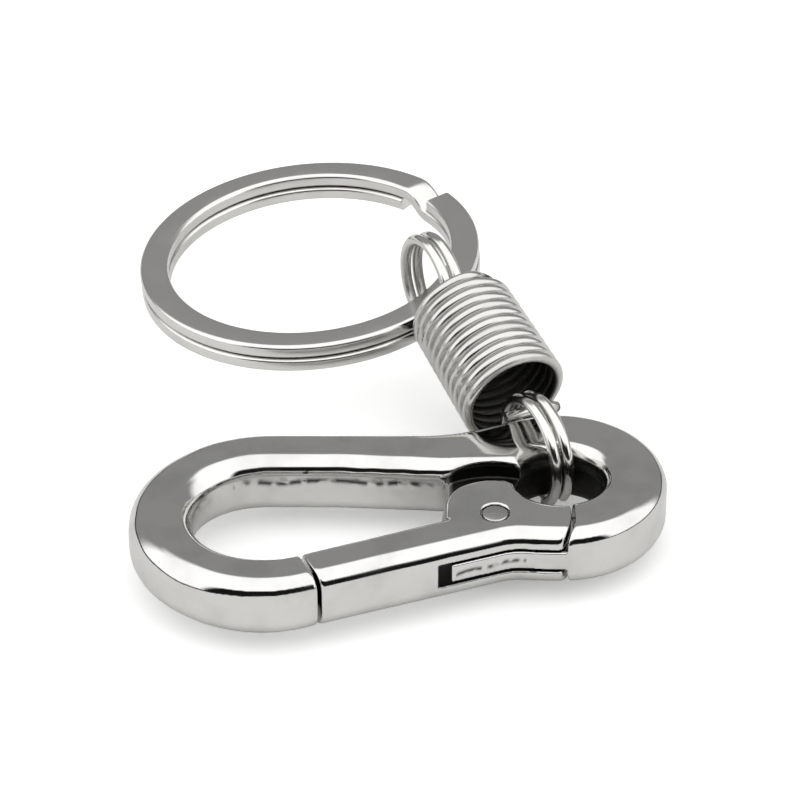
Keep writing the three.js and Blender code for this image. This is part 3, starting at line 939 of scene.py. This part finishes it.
def axes(x, y, z, origin):
    matrix = Matrix((x, y, z)).transposed().to_4x4()
    matrix.translation = origin
    return matrix


def ring_matrix(centre, axis, opening):
    """The wire's ends and its step face the given direction."""
    x = (opening - axis * opening.dot(axis)).normalized()
    return axes(x, axis.cross(x), axis, centre)


def along_wire(tree):
    """Coordinates that follow a wire: along it, and round its section."""
    along = new_node(tree, "ShaderNodeAttribute", attribute_name="along").outputs["Fac"]
    around = new_node(tree, "ShaderNodeAttribute", attribute_name="around").outputs["Fac"]
    turn = math_node(tree, "MULTIPLY", around, 2 * math.pi)
    place = new_node(tree, "ShaderNodeCombineXYZ")
    feed(
        tree,
        place,
        X=math_node(tree, "MULTIPLY", along, 0.00025),
        Y=math_node(tree, "MULTIPLY", math_node(tree, "COSINE", turn), 0.0005),
        Z=math_node(tree, "MULTIPLY", math_node(tree, "SINE", turn), 0.0005),
    )
    return place.outputs[0]


nickel_wire = plated(
    "nickel_wire",
    along_wire,
    bright=(0.74, 0.73, 0.705, 1),
    dull=(0.50, 0.49, 0.47, 1),
    polish=0.13,
    haze=0.10,
    scratches=0.3,
    pits=0.25,
)

split_ring = split_ring_tree()
up = Vector((0, 0, 1))
front_centre, ring_axis = joint_place("front_ring_in_eye")
away = up.cross(ring_axis)
host_mesh = bpy.data.meshes.new("ring_host")
wire_ring = {
    "cut": RING_CUT,
    "step_half": RING_STEP_HALF,
    "rise": RING_STEP,
    "steps": 260,
    "width": RING_WIRE,
    "height": RING_WIRE,
    "corner": RING_WIRE / 2 - 0.001,
    "corner_steps": 6,
    # painted shade on the rings' inner side
    "hollow": 0.35,
    "material": nickel_wire,
}
front_opening = away * math.cos(FRONT_OPEN) + up * math.sin(FRONT_OPEN)
front_ring = grown(
    "front_ring",
    host_mesh,
    split_ring,
    ring_matrix(front_centre, ring_axis, front_opening),
    0.1,
    radius=FRONT_RING_R,
    **wire_ring,
)
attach(front_ring, "front_ring")
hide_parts("front_split_ring")

hook, _ = joint_place("key_ring_on_rear_ring")
rear_centre = hook + up * KEY_HANG
rear_opening = away * math.cos(REAR_OPEN) + up * math.sin(REAR_OPEN)
rear_ring = grown(
    "rear_ring",
    host_mesh,
    split_ring,
    ring_matrix(rear_centre, ring_axis, rear_opening),
    0.1,
    radius=REAR_RING_R,
    **wire_ring,
)
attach(rear_ring, "rear_ring")
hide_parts("rear_split_ring")

# ---- Coil spring -------------------------------------------------------------------------
# Hard-drawn wire wound close into a tube, then nickel plated, with a softer shine than the
# rings. At each end it turns in across the mouth as a bar, and a split ring hooks round it.
COIL_WIRE = 0.9
COIL_R = 4.38
COIL_TAPER = 0.25
COIL_PITCH = 0.95
COIL_TURNS = 12
COIL_ASIDE = 0.25
BAR_END = -1.7
BAR_AHEAD = 1.45


def coil_path():
    """Centre line of the spring about Z, from its first turn at 0."""
    bar = [(x, 0.0, -BAR_AHEAD) for x in (BAR_END, -0.6, 0.5, 1.6)]
    bar += [(2.75, 0.25, -BAR_AHEAD * 0.93), (3.62, 1.1, -BAR_AHEAD * 0.62)]
    lead = 0.42 * math.pi
    whole = COIL_TURNS * 2 * math.pi
    turns = []
    for a in np.linspace(lead, whole - lead, COIL_TURNS * 20 + 1):
        r = COIL_R - COIL_TAPER * a / whole
        turns.append((r * math.cos(a), r * math.sin(a), COIL_PITCH * a / (2 * math.pi)))
    length = COIL_PITCH * COIL_TURNS
    cx, sx = math.cos(whole), math.sin(whole)
    far_bar = [(x * cx + y * sx, x * sx - y * cx, length - z) for x, y, z in reversed(bar)]
    return bar + turns + far_bar


def poly_curve(name, points):
    curve = bpy.data.curves.new(name, "CURVE")
    curve.dimensions = "3D"
    spline = curve.splines.new("NURBS")
    spline.points.add(len(points) - 1)
    for point, at in zip(spline.points, points):
        point.co = (*at, 1)
    spline.use_endpoint_u = True
    spline.order_u = 3
    spline.resolution_u = 4
    return curve


def wound_wire_tree():
    """A round or rounded section swept along the host's curve."""
    tree, given, result = geometry_tree(
        "wound_wire",
        [
            ("Geometry", "NodeSocketGeometry", None),
            ("Spacing", "NodeSocketFloat", 0.3),
            ("Radius", "NodeSocketFloat", 4.4),
        ]
        + SECTION_INPUTS,
    )
    evened = new_node(tree, "GeometryNodeResampleCurve", mode="LENGTH")
    feed(tree, evened, Curve=given.outputs["Geometry"], Length=given.outputs["Spacing"])
    sweep(tree, given, result, evened.outputs[0])
    return tree


spring_wire = plated(
    "spring_wire",
    along_wire,
    bright=(0.66, 0.655, 0.635, 1),
    dull=(0.46, 0.455, 0.435, 1),
    polish=0.20,
    haze=0.12,
    scratches=0.3,
    pits=0.25,
)

wound_wire = wound_wire_tree()
front_bar, _ = joint_place("coil_spring_on_front_ring")
rear_bar, _ = joint_place("rear_ring_on_coil_spring")
coil_way = (rear_bar - front_bar).normalized()
coil_x = (ring_axis - coil_way * ring_axis.dot(coil_way)).normalized()
coil_start = front_bar + coil_way * BAR_AHEAD + coil_x * COIL_ASIDE
coil = grown(
    "coil_tube",
    poly_curve("coil_path", coil_path()),
    wound_wire,
    axes(coil_x, coil_way.cross(coil_x), coil_way, coil_start),
    0.1,
    spacing=0.3,
    radius=COIL_R - COIL_TAPER / 2,
    width=COIL_WIRE,
    height=COIL_WIRE,
    corner=COIL_WIRE / 2 - 0.001,
    corner_steps=6,
    # painted shade inside the tube, at full strength
    hollow=1.0,
    material=spring_wire,
)
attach(coil, "spring_link")
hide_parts("coil_spring")

# ---- Gate return spring ------------------------------------------------------------------
# A tiny compression spring of bare drawn wire in the gate's bore, pushing on the web.
RETURN_WIRE = 0.32
RETURN_R = 0.78
RETURN_TURNS = 5
RETURN_LENGTH = 3.7

drawn_steel = plated(
    "drawn_steel",
    along_wire,
    bright=(0.52, 0.52, 0.51, 1),
    dull=(0.30, 0.29, 0.28, 1),
    polish=0.22,
    haze=0.15,
    scratches=0.8,
    pits=0.2,
)


def return_path():
    points = []
    for a in np.linspace(0, RETURN_TURNS * 2 * math.pi, RETURN_TURNS * 20 + 1):
        rise = RETURN_LENGTH * a / (RETURN_TURNS * 2 * math.pi)
        points.append((RETURN_R * math.cos(a), RETURN_R * math.sin(a), rise))
    return points


bore_way = Vector((-math.cos(GATE_SLOPE), -math.sin(GATE_SLOPE), 0))
bore_mouth = Vector(NOSE_AT) + Vector((SLOT_X, BORE_Y, THICK / 2)) + bore_way * 0.3
return_spring = grown(
    "return_spring",
    poly_curve("return_path", return_path()),
    wound_wire,
    axes(up, bore_way.cross(up), bore_way, bore_mouth),
    spacing=0.2,
    radius=RETURN_R,
    width=RETURN_WIRE,
    height=RETURN_WIRE,
    corner=RETURN_WIRE / 2 - 0.001,
    corner_steps=4,
    material=drawn_steel,
)
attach(return_spring, "gate_lever")
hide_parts("gate_return_spring")

# ---- Key ring ----------------------------------------------------------------------------
# Flat strip rolled on edge into two turns and nickel plated. The flat faces are satin from
# the barrel, the edges are bright.
KEY_OUT_R = 15
KEY_BAND = 2.5
KEY_LAYER = 1.23
KEY_GAP = 0.14
KEY_STEP_AT = math.radians(42)
KEY_STEP_HALF = math.radians(6)
KEY_CUT = KEY_STEP_HALF + 0.035
KEY_TILT = math.radians(-4.6)
KEY_HOOK_R = 13.2
KEY_HOOK_AT = math.radians(-34.9)

nickel_strip = plated(
    "nickel_strip",
    from_object,
    bright=(0.74, 0.73, 0.71, 1),
    dull=(0.60, 0.59, 0.57, 1),
    polish=0.17,
    haze=0.10,
    scratches=0.05,
    pits=0.15,
)
key_middle = KEY_OUT_R - KEY_BAND / 2
key_tilt = Matrix.Rotation(KEY_TILT, 4, "Y")
to_hook = Vector((math.cos(KEY_HOOK_AT), math.sin(KEY_HOOK_AT), 0)) * KEY_HOOK_R
key_centre = hook - key_tilt @ to_hook
key_ring = grown(
    "flat_key_ring",
    host_mesh,
    split_ring,
    Matrix.Translation(key_centre) @ key_tilt @ Matrix.Rotation(KEY_STEP_AT, 4, "Z"),
    0.08,
    radius=key_middle,
    cut=KEY_CUT,
    step_half=KEY_STEP_HALF,
    rise=KEY_LAYER + KEY_GAP,
    steps=520,
    width=KEY_BAND,
    height=KEY_LAYER,
    corner=0.38,
    corner_steps=5,
    material=nickel_strip,
)
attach(key_ring, "key_ring")
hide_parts("key_ring")
